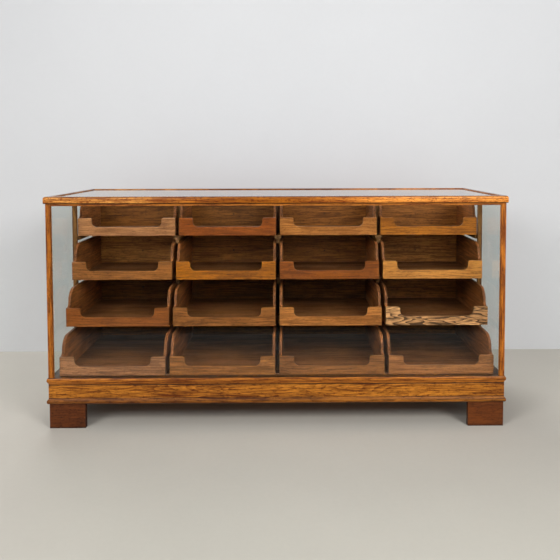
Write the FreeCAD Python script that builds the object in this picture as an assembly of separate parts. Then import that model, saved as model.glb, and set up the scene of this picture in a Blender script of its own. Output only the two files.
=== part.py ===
import FreeCAD, Part
import os

from FreeCAD import Vector

os.makedirs("parts", exist_ok=True)

# A glazed oak shop counter with four columns of four stepped trays. Customers see the
# scooped tray fronts through the front glass, and the trays draw out at the open back.
# Sizes are in millimetres. X runs along the counter, Y from its front to its back, Z up.

# Top frame and the whole counter
counter_width = 1829.0
counter_depth = 610.0
counter_height = 925.0
top_overhang = 6.5
top_thick = 28.0
top_rail_width = 32.0
top_edge_radius = 8.0
top_lower_radius = 3.0
top_rebate_width = 10.0

# Corner posts and the slim rails under the top
post_side = 19.0
post_edge_radius = 1.2
under_rail_height = 9.0

# Glass
pane_thick = 5.0
top_pane_thick = 6.0
top_pane_recess = 4.0
groove_depth = 4.0
groove_gap = 0.5
top_pane_gap = 1.0

# Base, from the floor up
foot_height = 100.0
foot_length = 142.0
foot_return = 110.0
foot_board = 22.0
foot_inset = 2.0
foot_block_side = 36.0
foot_block_short = 6.0
lower_moulding_height = 23.0
lower_moulding_out = 6.0
lower_moulding_width = 66.0
lower_foot_back = 3.0
lower_nose_back = 1.7
lower_cove_height = 8.0
lower_cove_sag = 1.3
plinth_height = 52.0
plinth_board = 20.0
upper_moulding_height = 28.0
upper_moulding_out = 5.5
upper_moulding_width = 38.0
upper_fillet_height = 3.0
upper_cove_height = 9.0
upper_cove_sag = 1.1
upper_nose_back = 1.4
upper_top_back = 3.0

# Deck board, let into the upper moulding a little below its top
deck_thick = 16.0
deck_rebate = 10.0
deck_drop = 4.0
deck_gap = 1.0

# Trays. The columns share the width between the posts and the rows share the height.
column_count = 4
row_count = 4
post_gap = 7.0
tray_board = 11.0
front_setback = 35.0
row_step = 82.5
bar_height = 37.5
ear_height = 77.0
ear_width = 60.0
scoop_low_radius = 22.0
scoop_top_radius = 8.0
ogee_foot_radius = 18.0
bottom_thick = 7.0
bottom_rise = 3.0
bottom_groove = 5.0
bottom_gap = 0.3

# The tray's back board, which laps over the frame and stops the tray
face_thick = 15.5
face_side_lap = 6.5
face_top_lap = 6.0
face_reveal = 6.0
face_gap = 0.5

# Runners, guides and the uprights that carry them
run_gap = 0.5
side_gap = 1.0
web_thick = 15.0
web_height = 21.0
flange_width = 29.0
flange_thick = 13.0
side_runner_lap = 6.5
side_runner_height = 17.0
upright_glass_gap = 2.5
runner_front_gap = 2.0
front_upright_setback = 47.5
column_upright_depth = 40.0
side_upright_lead = 16.5
side_upright_depth = 17.0
guide_height = 12.0
guide_width = 9.0
guide_setback = 25.0
rail_clearance = 2.0
back_rail_depth = 20.0
back_rail_height = 27.0
back_top_clearance = 2.0

# Turned knobs at the back
knob_out = 24.0
knob_radius = 14.0
knob_neck_radius = 6.5
rose_radius = 17.0
rose_thick = 3.0
knob_dome = 5.0
knob_underside = 6.0
knob_underside_sag = 1.5
screw_radius = 2.5
screw_gap = 0.4
screw_head_radius = 5.0
screw_head_depth = 3.0
screw_bite = 14.0
tapping_gap = 0.2

# Worked out from the sizes above. Posts run out to half_x and half_y.
half_x = counter_width / 2 - top_overhang
half_y = counter_depth / 2 - top_overhang
top_under = counter_height - top_thick
plinth_low = foot_height + lower_moulding_height
upper_low = plinth_low + plinth_height
base_top = upper_low + upper_moulding_height
deck_top = base_top - deck_drop
pane_low = base_top - groove_depth
pane_top = top_under - under_rail_height
frame_back = half_y - face_thick - face_gap
upright_top = top_under - under_rail_height - back_top_clearance

tray_span = 2 * (half_x - post_side - post_gap - face_side_lap)
column_gap = web_thick + 2 * side_gap
tray_width = (tray_span - (column_count - 1) * column_gap) / column_count
column_pitch = tray_width + column_gap
row_gap = run_gap + back_rail_height + rail_clearance
tray_room = upright_top - rail_clearance - deck_top - run_gap
tray_height = (tray_room - (row_count - 1) * row_gap) / row_count
row_pitch = tray_height + row_gap

side_upright_x = tray_span / 2 + side_gap
side_upright_out = half_x - (post_side + pane_thick) / 2 - upright_glass_gap
uprights_front = -half_y + front_setback + (row_count - 1) * row_step
runner_front = uprights_front - runner_front_gap
runner_back = frame_back - back_rail_depth
back_reach = max(half_y + knob_out, counter_depth / 2)
centre_shift = (back_reach - counter_depth / 2) / 2

# How far each side of a mitred frame is turned from the front, in degrees
side_turns = {"front": 0, "right": 90, "back": 180, "left": 270}


def block(x_low, x_high, y_low, y_high, z_low, z_high):
    size = Vector(x_high - x_low, y_high - y_low, z_high - z_low)
    return Part.makeBox(size.x, size.y, size.z, Vector(x_low, y_low, z_low))


def line(start, end):
    return Part.LineSegment(start, end).toShape()


def arc(start, middle, end):
    return Part.Arc(start, middle, end).toShape()


def bowed(start, end, sag):
    # The step from start to end by an arc that leaves the straight way by its sag, to the
    # right of it in the YZ plane, or to the left where the sag is negative.
    way = end - start
    side = Vector(0, way.z, -way.y) * (sag / way.Length)
    return [(start + end) / 2 + side, end]


def chain(steps):
    # Each step is a point reached by a line, or a middle point and an end of an arc.
    edges = []
    here = steps[0][0]
    for step in steps[1:]:
        if len(step) == 1:
            edges.append(line(here, step[0]))
        else:
            edges.append(arc(here, step[0], step[1]))
        here = step[-1]
    return Part.Face(Part.Wire(edges))


def corner(centre, radius, across, up):
    # The point at 45 degrees on a quarter circle, on the side given by two signs.
    reach = radius / 2 ** 0.5
    return Vector(centre.x, centre.y + across * reach, centre.z + up * reach)


# Positions of the rows and columns. Row 1 is the top row, column 1 is at the left.
def row_floor(row):
    return deck_top + run_gap + (row_count - row) * row_pitch


def row_front(row):
    return -half_y + front_setback + (row_count - row) * row_step


def column_middle(column):
    return (column - (column_count + 1) / 2) * column_pitch


def gap_middle(gap):
    return (gap - column_count / 2) * column_pitch


# One side of a mitred frame. The profile is a face in the YZ plane whose Y is minus the
# distance outwards from the posts' faces. The run lies along X before it is turned.
def mitred_side(profile, turn):
    along_x = turn % 180 == 0
    run = half_x if along_x else half_y
    reach = half_y if along_x else half_x
    bounds = profile.BoundBox
    low = -bounds.YMax
    high = -bounds.YMin
    spare = bounds.YLength
    start = profile.translated(Vector(-run - spare, -reach, 0))
    bar = start.extrude(Vector(2 * (run + spare), 0, 0))
    plan = [
        Vector(-run - high, -reach - high, bounds.ZMin),
        Vector(run + high, -reach - high, bounds.ZMin),
        Vector(run + low, -reach - low, bounds.ZMin),
        Vector(-run - low, -reach - low, bounds.ZMin),
    ]
    wedge = Part.Face(Part.makePolygon(plan + plan[:1])).extrude(Vector(0, 0, bounds.ZLength))
    side = bar.common(wedge).Solids[0]
    side.rotate(Vector(0, 0, 0), Vector(0, 0, 1), turn)
    return side


def profile_point(out, up):
    return Vector(0, -out, up)


# Top frame: a rounded outer edge, and a rebate on the inside for the glass.
def top_profile():
    inner = top_overhang - top_rail_width
    ledge = inner + top_rebate_width
    ledge_up = counter_height - top_pane_recess - top_pane_thick
    low_centre = profile_point(top_overhang - top_lower_radius, top_under + top_lower_radius)
    high_centre = profile_point(top_overhang - top_edge_radius, counter_height - top_edge_radius)
    return chain([
        [profile_point(inner, top_under)],
        [profile_point(top_overhang - top_lower_radius, top_under)],
        [corner(low_centre, top_lower_radius, -1, -1),
         profile_point(top_overhang, top_under + top_lower_radius)],
        [profile_point(top_overhang, counter_height - top_edge_radius)],
        [corner(high_centre, top_edge_radius, -1, 1),
         profile_point(top_overhang - top_edge_radius, counter_height)],
        [profile_point(ledge, counter_height)],
        [profile_point(ledge, ledge_up)],
        [profile_point(inner, ledge_up)],
        [profile_point(inner, top_under)],
    ])


# Upper base moulding: a flat top, a bold round nose and a small cove under it.
def upper_profile():
    inner = upper_moulding_out - upper_moulding_width
    out = upper_moulding_out
    cove_low = profile_point(0, upper_low + upper_fillet_height)
    nose_up = cove_low.z + upper_cove_height
    nose_low = profile_point(out - upper_nose_back, nose_up)
    return chain([
        [profile_point(inner, upper_low)],
        [profile_point(0, upper_low)],
        [cove_low],
        bowed(cove_low, nose_low, upper_cove_sag),
        [profile_point(out, (nose_up + base_top) / 2),
         profile_point(out - upper_top_back, base_top)],
        [profile_point(inner, base_top)],
        [profile_point(inner, upper_low)],
    ])


# Lower base moulding: a cove falling from the plinth's face to a round nose.
def lower_profile():
    inner = lower_moulding_out - lower_moulding_width
    out = lower_moulding_out
    nose_up = plinth_low - lower_cove_height
    nose_top = profile_point(out - lower_nose_back, nose_up)
    cove_top = profile_point(0, plinth_low)
    return chain([
        [profile_point(inner, foot_height)],
        [profile_point(out - lower_foot_back, foot_height)],
        [profile_point(out, (foot_height + nose_up) / 2), nose_top],
        bowed(nose_top, cove_top, lower_cove_sag),
        [profile_point(inner, plinth_low)],
        [profile_point(inner, foot_height)],
    ])


def plinth_profile():
    return chain([
        [profile_point(-plinth_board, plinth_low)],
        [profile_point(0, plinth_low)],
        [profile_point(0, upper_low)],
        [profile_point(-plinth_board, upper_low)],
        [profile_point(-plinth_board, plinth_low)],
    ])


# Glass panes, each given with the groove that holds it
def front_pane(gap):
    side = half_x - post_side + groove_depth - gap
    middle = -half_y + post_side / 2
    half = pane_thick / 2
    return block(-side, side, middle - half, middle + half,
                 pane_low + gap, pane_top + groove_depth - gap)


def side_pane(hand, gap):
    end = half_y - post_side + groove_depth - gap
    middle = hand * (half_x - post_side / 2)
    half = pane_thick / 2
    return block(middle - half, middle + half, -end, end,
                 pane_low + gap, pane_top + groove_depth - gap)


def top_pane():
    inset = top_rail_width - top_rebate_width - top_overhang + top_pane_gap
    low = counter_height - top_pane_recess - top_pane_thick
    return block(-half_x + inset, half_x - inset, -half_y + inset, half_y - inset,
                 low, low + top_pane_thick)


grooves = [front_pane(0), side_pane(-1, 0), side_pane(1, 0)]


def grooved(solid):
    for groove in grooves:
        if solid.BoundBox.intersect(groove.BoundBox):
            solid = solid.cut(groove)
    return solid


def corner_post(hand, end):
    x = hand * (half_x - post_side / 2)
    y = end * (half_y - post_side / 2)
    half = post_side / 2
    post = block(x - half, x + half, y - half, y + half, base_top, top_under)
    upright = [edge for edge in post.Edges if abs(edge.BoundBox.ZLength) > post_side]
    return grooved(post.makeFillet(post_edge_radius, upright))


# A bracket foot: a long front board, a mitred side return and a block glued in the corner
def bracket_foot(hand, end):
    x = half_x - foot_inset
    y = half_y - foot_inset
    inner_x = x - foot_board
    inner_y = y - foot_board
    long_end = x - foot_length
    short_end = y - foot_return
    face_plan = [(long_end, y), (x, y), (inner_x, inner_y), (long_end, inner_y)]
    side_plan = [(x, y), (x, short_end), (inner_x, short_end), (inner_x, inner_y)]
    pieces = []
    for plan in (face_plan, side_plan):
        points = [Vector(across, along, 0) for across, along in plan]
        board = Part.Face(Part.makePolygon(points + points[:1])).extrude(Vector(0, 0, foot_height))
        pieces.append(board)
    pieces.append(block(inner_x - foot_block_side, inner_x, inner_y - foot_block_side, inner_y,
                        foot_block_short, foot_height))
    placed = []
    for piece in pieces:
        if hand < 0:
            piece = piece.mirror(Vector(0, 0, 0), Vector(1, 0, 0))
        if end < 0:
            piece = piece.mirror(Vector(0, 0, 0), Vector(0, 1, 0))
        placed.append(piece)
    return placed


# Upper moulding, cut for the glass and the deck. Its back side is a low threshold between
# two corner pieces under the back posts, so that the bottom trays draw out over it.
def upper_moulding():
    sides = {place: mitred_side(upper_profile(), turn) for place, turn in side_turns.items()}
    back = sides["back"]
    edge = upper_moulding_width - upper_moulding_out - deck_rebate
    seat = block(-half_x + edge, half_x - edge, -half_y + edge, half_y - edge,
                 deck_top - deck_thick, base_top)
    between = block(-half_x + post_side, half_x - post_side, 0,
                    half_y + upper_moulding_out, upper_low, base_top)
    way_out = block(-half_x + post_side, half_x - post_side, 0,
                    half_y + upper_moulding_out, deck_top, base_top)
    threshold = back.common(between).cut(way_out)
    pieces = [sides["front"], sides["right"], sides["left"], threshold]
    pieces += back.cut(between).Solids
    return [grooved(piece).cut(seat) for piece in pieces]


def deck_board():
    edge = upper_moulding_width - upper_moulding_out - deck_rebate + deck_gap
    return block(-half_x + edge, half_x - edge, -half_y + edge, half_y - edge,
                 deck_top - deck_thick, deck_top)


def under_rails():
    inner_x = half_x - post_side
    inner_y = half_y - post_side
    front = block(-inner_x, inner_x, -half_y, -inner_y, pane_top, top_under)
    left = block(-half_x, -inner_x, -inner_y, inner_y, pane_top, top_under)
    right = block(inner_x, half_x, -inner_y, inner_y, pane_top, top_under)
    back = block(-inner_x, inner_x, runner_back, frame_back, upright_top, top_under)
    return [grooved(front), grooved(left), grooved(right), back]


# Uprights: thin ones in the gaps between the columns, stouter ones at the two ends
def column_upright(gap, y_low):
    middle = gap_middle(gap)
    half = web_thick / 2
    return block(middle - half, middle + half, y_low, y_low + column_upright_depth,
                 deck_top, upright_top)


def side_upright(hand, y_low, y_high, top):
    inner = hand * side_upright_x
    outer = hand * side_upright_out
    post = block(min(inner, outer), max(inner, outer), y_low, y_high, deck_top, top)
    for side in upper_sides:
        post = post.cut(side)
    return post


def front_uprights():
    low = uprights_front + front_upright_setback
    side_low = uprights_front - side_upright_lead
    group = [column_upright(gap, low) for gap in range(1, column_count)]
    for hand in (-1, 1):
        group.append(side_upright(hand, side_low, side_low + side_upright_depth, pane_top))
    return group


def back_uprights():
    low = frame_back - column_upright_depth
    group = [column_upright(gap, low) for gap in range(1, column_count)]
    for hand in (-1, 1):
        group.append(side_upright(hand, low, half_y - post_side, upright_top))
    return group


def fitted(solid, around):
    for other in around:
        if solid.BoundBox.intersect(other.BoundBox):
            solid = solid.cut(other)
    return solid.Solids


# Runners between the columns: a flange that carries both trays on a web below it
def column_runners():
    around = front_posts + back_posts
    group = []
    for gap in range(1, column_count):
        middle = gap_middle(gap)
        for row in range(1, row_count):
            top = row_floor(row) - run_gap
            flange = block(middle - flange_width / 2, middle + flange_width / 2,
                           runner_front, runner_back, top - flange_thick, top)
            web = block(middle - web_thick / 2, middle + web_thick / 2, runner_front,
                        runner_back, top - flange_thick - web_height, top - flange_thick)
            group += fitted(flange, around) + fitted(web, around)
        guide = block(middle - web_thick / 2, middle + web_thick / 2,
                      row_front(row_count) + guide_setback, runner_back,
                      deck_top, deck_top + guide_height)
        group += fitted(guide, around)
    return group


def side_runners():
    around = front_posts + back_posts + upper_sides
    group = []
    for hand in (-1, 1):
        inner = hand * (tray_span / 2 - side_runner_lap)
        outer = hand * side_upright_out
        for row in range(1, row_count):
            top = row_floor(row) - run_gap
            runner = block(min(inner, outer), max(inner, outer), runner_front,
                           runner_back, top - side_runner_height, top)
            group += fitted(runner, around)
        near = hand * side_upright_x
        far = hand * (side_upright_x + guide_width)
        guide = block(min(near, far), max(near, far), uprights_front, runner_back,
                      deck_top, deck_top + guide_height)
        group += fitted(guide, around)
    return group


# Cross rails at the back, one under each of the upper rows in every bay
def back_rails():
    group = []
    for column in range(1, column_count + 1):
        half = web_thick / 2
        left = gap_middle(column - 1) + half if column > 1 else -side_upright_x
        right = gap_middle(column) - half if column < column_count else side_upright_x
        for row in range(1, row_count):
            top = row_floor(row) - run_gap
            group.append(block(left, right, runner_back, frame_back, top - back_rail_height, top))
    return group


# A tray is built at its own corner: X from its left side, Y from its front, Z from its foot.
def tray_front():
    width = tray_width
    scoop_left = ear_width
    scoop_right = width - ear_width
    steps = [
        [Vector(0, 0, 0)],
        [Vector(width, 0, 0)],
        [Vector(width, 0, ear_height)],
        [Vector(scoop_right + scoop_top_radius, 0, ear_height)],
    ]
    reach = 1 - 1 / 2 ** 0.5
    top = scoop_top_radius
    low = scoop_low_radius
    steps += [
        [Vector(scoop_right + top * reach, 0, ear_height - top * reach),
         Vector(scoop_right, 0, ear_height - top)],
        [Vector(scoop_right, 0, bar_height + low)],
        [Vector(scoop_right - low * reach, 0, bar_height + low * reach),
         Vector(scoop_right - low, 0, bar_height)],
        [Vector(scoop_left + low, 0, bar_height)],
        [Vector(scoop_left + low * reach, 0, bar_height + low * reach),
         Vector(scoop_left, 0, bar_height + low)],
        [Vector(scoop_left, 0, ear_height - top)],
        [Vector(scoop_left - top * reach, 0, ear_height - top * reach),
         Vector(scoop_left - top, 0, ear_height)],
        [Vector(0, 0, ear_height)],
        [Vector(0, 0, 0)],
    ]
    return chain(steps).extrude(Vector(0, tray_board, 0))


def tray_side(x_low, length):
    start = tray_board
    foot = ogee_foot_radius
    brow = tray_height - ear_height - foot
    bend = start + foot
    reach = 1 / 2 ** 0.5
    outline = chain([
        [Vector(x_low, start, 0)],
        [Vector(x_low, length, 0)],
        [Vector(x_low, length, tray_height)],
        [Vector(x_low, bend + brow, tray_height)],
        [Vector(x_low, bend + brow * (1 - reach), tray_height - brow * (1 - reach)),
         Vector(x_low, bend, ear_height + foot)],
        [Vector(x_low, start + foot * reach, ear_height + foot * (1 - reach)),
         Vector(x_low, start, ear_height)],
        [Vector(x_low, start, 0)],
    ])
    return outline.extrude(Vector(tray_board, 0, 0))


def screw_hole(depth_low, depth_high, radius, x, z):
    return Part.makeCylinder(radius, depth_high - depth_low, Vector(x, depth_low, z), Vector(0, 1, 0))


def knob_height(row):
    return (face_bottom(row) + face_top(row)) / 2 - row_floor(row)


def face_top(row):
    return row_floor(row) + tray_height + face_top_lap


def face_bottom(row):
    if row == row_count:
        return row_floor(row)
    return face_top(row + 1) + face_reveal


def tray_boards(row):
    length = frame_back + face_gap - row_front(row)
    front = tray_front()
    left = tray_side(0, length)
    right = tray_side(tray_width - tray_board, length)
    face = block(-face_side_lap, tray_width + face_side_lap, length, length + face_thick,
                 face_bottom(row) - row_floor(row), face_top(row) - row_floor(row))
    x = tray_width / 2
    z = knob_height(row)
    face = face.cut(screw_hole(length, length + face_thick, screw_radius + screw_gap, x, z))
    face = face.cut(screw_hole(length, length + screw_head_depth,
                               screw_head_radius + screw_gap, x, z))
    edge = tray_board - bottom_groove
    slot = block(edge, tray_width - edge, edge, length + bottom_groove,
                 bottom_rise, bottom_rise + bottom_thick)
    panel = block(edge + bottom_gap, tray_width - edge - bottom_gap, edge + bottom_gap,
                  length + bottom_groove - bottom_gap, bottom_rise, bottom_rise + bottom_thick)
    return [front.cut(slot), left.cut(slot), right.cut(slot), face.cut(slot), panel]


# A turned knob on a rose, held by a screw from inside the tray
def tray_knob(row):
    base = frame_back + face_gap - row_front(row) + face_thick
    inside = base - face_thick
    x = tray_width / 2
    z = knob_height(row)
    crown = base + knob_out
    widest = crown - knob_dome
    neck_end = widest - knob_underside
    dome_radius = (knob_dome ** 2 + knob_radius ** 2) / (2 * knob_dome)
    half = knob_radius / 2
    dome_half = crown - dome_radius + (dome_radius ** 2 - half ** 2) ** 0.5
    neck_top = Vector(0, neck_end, knob_neck_radius)
    rim = Vector(0, widest, knob_radius)
    turned = chain([
        [Vector(0, base, 0)],
        [Vector(0, base, rose_radius)],
        [Vector(0, base + rose_thick, knob_neck_radius)],
        [neck_top],
        bowed(neck_top, rim, -knob_underside_sag),
        [Vector(0, dome_half, half), Vector(0, crown, 0)],
        [Vector(0, base, 0)],
    ])
    knob = turned.revolve(Vector(0, 0, 0), Vector(0, 1, 0), 360)
    knob.translate(Vector(x, 0, z))
    knob = knob.cut(screw_hole(base, base + screw_bite + tapping_gap,
                               screw_radius + tapping_gap, x, z))
    shank = screw_hole(inside + screw_head_depth, base + screw_bite, screw_radius, x, z)
    head = screw_hole(inside, inside + screw_head_depth, screw_head_radius, x, z)
    return [knob, shank.fuse(head).removeSplitter().Solids[0]]


def save(name, solids):
    moved = []
    for solid in solids:
        for single in solid.Solids:
            copy = single.copy()
            copy.translate(Vector(0, -centre_shift, 0))
            moved.append(copy)
    shape = moved[0] if len(moved) == 1 else Part.makeCompound(moved)
    shape.exportStep("parts/" + name + ".step")
    print(name, len(moved), "solids", round(sum(solid.Volume for solid in moved)), "mm3")


hand_names = {-1: "left", 1: "right"}
end_names = {-1: "front", 1: "back"}

upper_sides = upper_moulding()
front_posts = front_uprights()
back_posts = back_uprights()

for end in (-1, 1):
    for hand in (-1, 1):
        place = end_names[end] + "_" + hand_names[hand]
        save("foot_" + place, bracket_foot(hand, end))
        save("post_" + place, [corner_post(hand, end)])

for place, turn in side_turns.items():
    save("top_rail_" + place, [mitred_side(top_profile(), turn)])

plinths = {place: mitred_side(plinth_profile(), turn) for place, turn in side_turns.items()}
save("lower_moulding", [mitred_side(lower_profile(), turn) for turn in side_turns.values()])
save("plinth_front", [plinths["front"]])
save("plinth_back", [plinths["back"]])
save("plinth_ends", [plinths["right"], plinths["left"]])
save("upper_moulding", upper_sides)
save("deck", [deck_board()])
save("under_rails", under_rails())

save("glass_front", [front_pane(groove_gap)])
save("glass_left", [side_pane(-1, groove_gap)])
save("glass_right", [side_pane(1, groove_gap)])
save("glass_top", [top_pane()])

save("front_uprights", front_posts)
save("back_uprights", back_posts)
save("column_runners", column_runners())
save("side_runners", side_runners())
save("back_rails", back_rails())

for row in range(1, row_count + 1):
    for column in range(1, column_count + 1):
        corner_place = Vector(column_middle(column) - tray_width / 2, row_front(row), row_floor(row))
        name = "tray_row" + str(row) + "_col" + str(column)
        boards = [board.translated(corner_place) for board in tray_boards(row)]
        save(name, boards)
        fittings = [piece.translated(corner_place) for piece in tray_knob(row)]
        save(name + "_knob", fittings)
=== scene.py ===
import bmesh
import bpy
import math
from mathutils import Matrix, Vector


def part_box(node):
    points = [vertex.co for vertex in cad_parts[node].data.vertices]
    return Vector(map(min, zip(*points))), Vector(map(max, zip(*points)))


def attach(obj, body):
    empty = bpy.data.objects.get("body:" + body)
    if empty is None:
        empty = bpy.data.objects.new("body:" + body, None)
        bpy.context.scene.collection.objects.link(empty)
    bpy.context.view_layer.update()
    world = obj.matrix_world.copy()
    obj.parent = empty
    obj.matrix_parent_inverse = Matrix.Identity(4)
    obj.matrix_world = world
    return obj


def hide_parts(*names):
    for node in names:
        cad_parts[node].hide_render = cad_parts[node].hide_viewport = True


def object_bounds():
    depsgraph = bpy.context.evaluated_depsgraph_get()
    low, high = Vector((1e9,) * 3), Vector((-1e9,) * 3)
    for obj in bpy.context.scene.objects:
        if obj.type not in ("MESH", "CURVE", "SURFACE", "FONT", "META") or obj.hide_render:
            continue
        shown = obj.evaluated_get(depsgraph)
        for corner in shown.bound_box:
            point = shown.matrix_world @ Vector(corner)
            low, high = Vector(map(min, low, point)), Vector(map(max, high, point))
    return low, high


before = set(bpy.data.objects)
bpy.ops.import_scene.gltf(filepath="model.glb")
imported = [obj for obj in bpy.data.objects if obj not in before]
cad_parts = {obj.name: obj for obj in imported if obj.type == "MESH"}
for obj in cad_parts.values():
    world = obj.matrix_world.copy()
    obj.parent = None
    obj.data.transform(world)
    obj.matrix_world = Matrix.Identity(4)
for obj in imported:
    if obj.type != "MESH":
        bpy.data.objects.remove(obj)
cadLow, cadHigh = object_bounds()
middleY = (cadLow.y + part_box("top_rail_back")[1].y) / 2
print("frame loaded:", len(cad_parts), "nodes")


# Camera, at the photograph's height and distance
cameraView = {
    "place": (0.0517, -2.7841, 1.0844),
    "tiltDown": 2.5525,
    "turn": -0.544,
    "roll": -0.113,
    "lens": 40.558,
    "shift": (-0.0279, -0.1719),
}


def makeCamera():
    data = bpy.data.cameras.new("camera")
    data.lens = cameraView["lens"]
    data.sensor_width = 36.0
    data.shift_x, data.shift_y = cameraView["shift"]
    camera = bpy.data.objects.new("camera", data)
    bpy.context.scene.collection.objects.link(camera)
    turn = Matrix.Rotation(math.radians(cameraView["turn"]), 4, "Z")
    tilt = Matrix.Rotation(math.radians(90 - cameraView["tiltDown"]), 4, "X")
    roll = Matrix.Rotation(math.radians(cameraView["roll"]), 4, "Z")
    camera.matrix_world = Matrix.Translation(cameraView["place"]) @ turn @ tilt @ roll
    bpy.context.scene.camera = camera


makeCamera()
print("camera ready")


# Shader node helpers
def addNode(tree, kind, values=None, **settings):
    node = tree.nodes.new("ShaderNode" + kind)
    for key, value in settings.items():
        setattr(node, key, value)
    for key, value in (values or {}).items():
        socket = node.inputs[key]
        if isinstance(value, bpy.types.NodeSocket):
            tree.links.new(value, socket)
        else:
            socket.default_value = value
    return node


def sums(tree, operation, *values, clamp=False):
    node = addNode(tree, "Math", dict(enumerate(values)), operation=operation, use_clamp=clamp)
    return node.outputs[0]


def blendColours(tree, share, first, second, mode="MIX"):
    values = {0: share, 6: first, 7: second}
    return addNode(tree, "Mix", values, data_type="RGBA", blend_type=mode).outputs[2]


# A smooth step from one span of values to another
def rangeOf(tree, value, low, high, newLow=0.0, newHigh=1.0):
    values = {
        "Value": value, "From Min": low, "From Max": high, "To Min": newLow, "To Max": newHigh,
    }
    return addNode(tree, "MapRange", values, interpolation_type="SMOOTHSTEP").outputs[0]


def noiseOf(tree, place, stretch, detail=2.0, roughness=0.5, twist=0.0):
    scaled = addNode(tree, "VectorMath", {0: place, 1: stretch}, operation="MULTIPLY").outputs[0]
    values = {
        "Vector": scaled, "Scale": 1.0, "Detail": detail, "Roughness": roughness,
        "Distortion": twist,
    }
    return addNode(tree, "TexNoise", values).outputs[0]


def newGroup(name, inputs, outputs):
    tree = bpy.data.node_groups.new(name, "ShaderNodeTree")
    for label, (kind, value) in inputs.items():
        kind = "NodeSocket" + kind
        socket = tree.interface.new_socket(name=label, in_out="INPUT", socket_type=kind)
        if value is not None:
            socket.default_value = value
    for label, kind in outputs.items():
        kind = "NodeSocket" + kind
        tree.interface.new_socket(name=label, in_out="OUTPUT", socket_type=kind)
    given = tree.nodes.new("NodeGroupInput").outputs
    return tree, given, tree.nodes.new("NodeGroupOutput").inputs


def useGroup(tree, group, values):
    node = tree.nodes.new("ShaderNodeGroup")
    node.node_tree = group
    for key, value in values.items():
        if isinstance(value, bpy.types.NodeSocket):
            tree.links.new(value, node.inputs[key])
        else:
            node.inputs[key].default_value = value
    return node.outputs


def newMaterial(name):
    material = bpy.data.materials.new(name)
    material.use_nodes = True
    tree = material.node_tree
    tree.nodes.clear()
    return material, tree, addNode(tree, "OutputMaterial")


# Oak grain along X: growth rings as the contours of a long soft noise, with streaks, ray
# flecks and pores. A noise has its stretch along and across the board, and the span of its
# values that is drawn.
ringNoise = {"detail": 1.6, "roughness": 0.42, "twist": 0.4}
grainNoises = {
    "tone": {"stretch": (1.3, 9.0, 9.0), "span": (0.3, 0.7), "detail": 2.0},
    "streak": {
        "stretch": (9.0, 170.0, 170.0), "span": (0.34, 0.66), "detail": 2.0, "roughness": 0.6,
    },
    "fibre": {"stretch": (16.0, 480.0, 480.0), "span": (0.3, 0.7), "detail": 1.0},
    "pore": {"stretch": (26.0, 420.0, 420.0), "span": (0.56, 0.68), "detail": 1.0},
    "fleck": {"stretch": (90.0, 210.0, 210.0), "span": (0.55, 0.66), "detail": 1.0, "twist": 0.8},
}
grainMix = {
    "lateCurve": 1.8, "lateEnd": 0.88, "poreReach": 1.15, "fibreShare": 0.3, "lineMiddle": 0.65,
    "toneMiddle": 0.5, "shadeMiddle": 0.55, "ringMiddle": 0.3, "reliefShare": 0.4,
}


def grainNoise(tree, place, kind):
    look = dict(grainNoises[kind])
    low, high = look.pop("span")
    return rangeOf(tree, noiseOf(tree, place, **look), low, high)


def makeOakGrain():
    inputs = {
        "Place": ("Vector", None),
        "Dark": ("Color", (0.2, 0.07, 0.02, 1)),
        "Light": ("Color", (0.5, 0.2, 0.05, 1)),
        "Pore": ("Color", (0.06, 0.02, 0.006, 1)),
        "Along": ("Float", 1.0),
        "Across": ("Float", 9.0),
        "Rings": ("Float", 14.0),
        "Ring Depth": ("Float", 0.5),
        "Streak Depth": ("Float", 0.4),
        "Tone Depth": ("Float", 0.4),
        "Flecks": ("Float", 0.2),
        "Pores": ("Float", 0.5),
    }
    outputs = {"Color": "Color", "Height": "Float", "Tone": "Float"}
    tree, given, out = newGroup("oakGrain", inputs, outputs)
    place = given["Place"]
    reach = {0: given["Along"], 1: given["Across"], 2: given["Across"]}
    stretch = addNode(tree, "CombineXYZ", reach)
    field = noiseOf(tree, place, stretch.outputs[0], **ringNoise)
    ring = sums(tree, "FRACT", sums(tree, "MULTIPLY", field, given["Rings"]))
    # late wood darkens slowly and ends at once
    late = sums(tree, "POWER", ring, grainMix["lateCurve"])
    late = sums(tree, "MULTIPLY", late, rangeOf(tree, ring, 1.0, grainMix["lateEnd"]))
    noises = {kind: grainNoise(tree, place, kind) for kind in grainNoises}
    tone = noises["tone"]
    early = sums(tree, "SUBTRACT", grainMix["poreReach"], late)
    pores = sums(tree, "MULTIPLY", noises["pore"], early)
    pores = sums(tree, "MULTIPLY", pores, given["Pores"], clamp=True)
    lines = sums(tree, "SUBTRACT", noises["streak"], grainMix["lineMiddle"])
    lines = sums(tree, "MULTIPLY_ADD", noises["fibre"], grainMix["fibreShare"], lines)
    tones = sums(tree, "SUBTRACT", tone, grainMix["toneMiddle"])
    rings = sums(tree, "SUBTRACT", grainMix["ringMiddle"], late)
    shade = sums(tree, "MULTIPLY_ADD", tones, given["Tone Depth"], grainMix["shadeMiddle"])
    shade = sums(tree, "MULTIPLY_ADD", lines, given["Streak Depth"], shade)
    shade = sums(tree, "MULTIPLY_ADD", rings, given["Ring Depth"], shade)
    flecks = sums(tree, "MULTIPLY", noises["fleck"], given["Flecks"])
    shade = sums(tree, "SUBTRACT", shade, flecks, clamp=True)
    colour = blendColours(tree, shade, given["Dark"], given["Light"])
    colour = blendColours(tree, pores, colour, given["Pore"])
    height = sums(tree, "SUBTRACT", sums(tree, "MULTIPLY", shade, grainMix["reliefShare"]), pores)
    tree.links.new(colour, out["Color"])
    tree.links.new(height, out["Height"])
    tree.links.new(tone, out["Tone"])
    return tree


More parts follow.
